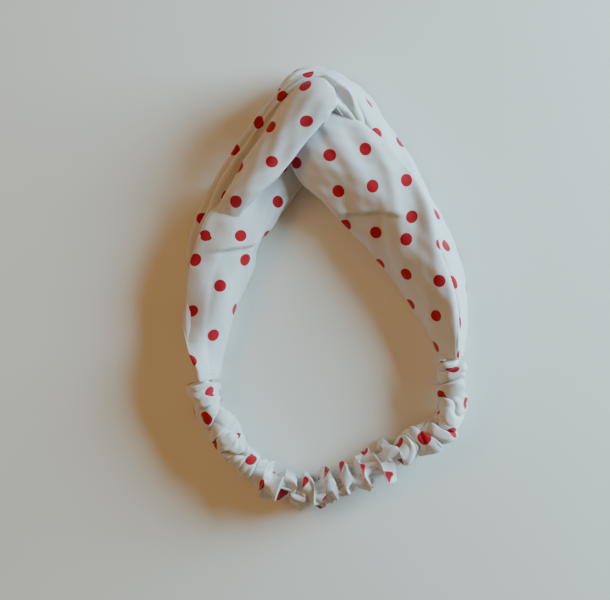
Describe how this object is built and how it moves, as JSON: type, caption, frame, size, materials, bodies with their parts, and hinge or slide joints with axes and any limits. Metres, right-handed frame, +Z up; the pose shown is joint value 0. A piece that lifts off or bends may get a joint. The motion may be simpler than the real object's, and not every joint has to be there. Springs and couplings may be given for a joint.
{
  "type": "knotted headband",
  "caption": "Soft cloth headband: two wide looped bands hooked together in a front knot, joined behind by a gathered casing over elastic.",
  "frame": {"origin": "centre of the outer box in X and Y, on the surface the headband rests on", "axes": "+Y towards the knot at the front, +Z up through the head opening, +X to the arm with the wide flat panel"},
  "size_m": [0.1258, 0.1902, 0.034],
  "materials": {
    "printed_cloth": "smooth woven cloth, white with round red dots",
    "elastic_web": "ribbed white elastic",
    "thread": "white sewing thread"
  },
  "bodies": {
    "front": {"left_band": "printed_cloth", "right_band": "printed_cloth", "left_band_seam": "thread", "right_band_seam": "thread", "left_join_stitches": "thread", "right_join_stitches": "thread", "left_elastic_tack": "thread", "right_elastic_tack": "thread"},
    "back": {"casing": "printed_cloth", "elastic": "elastic_web", "casing_seam": "thread"}
  },
  "joints": [
    {"name": "back_stretch", "type": "slide", "parent": "front", "child": "back", "axis": [0, -1, 0], "range_m": [0, 0.06], "stiffness_N_per_m": 100, "deforming": ["casing", "elastic", "casing_seam"]}
  ]
}
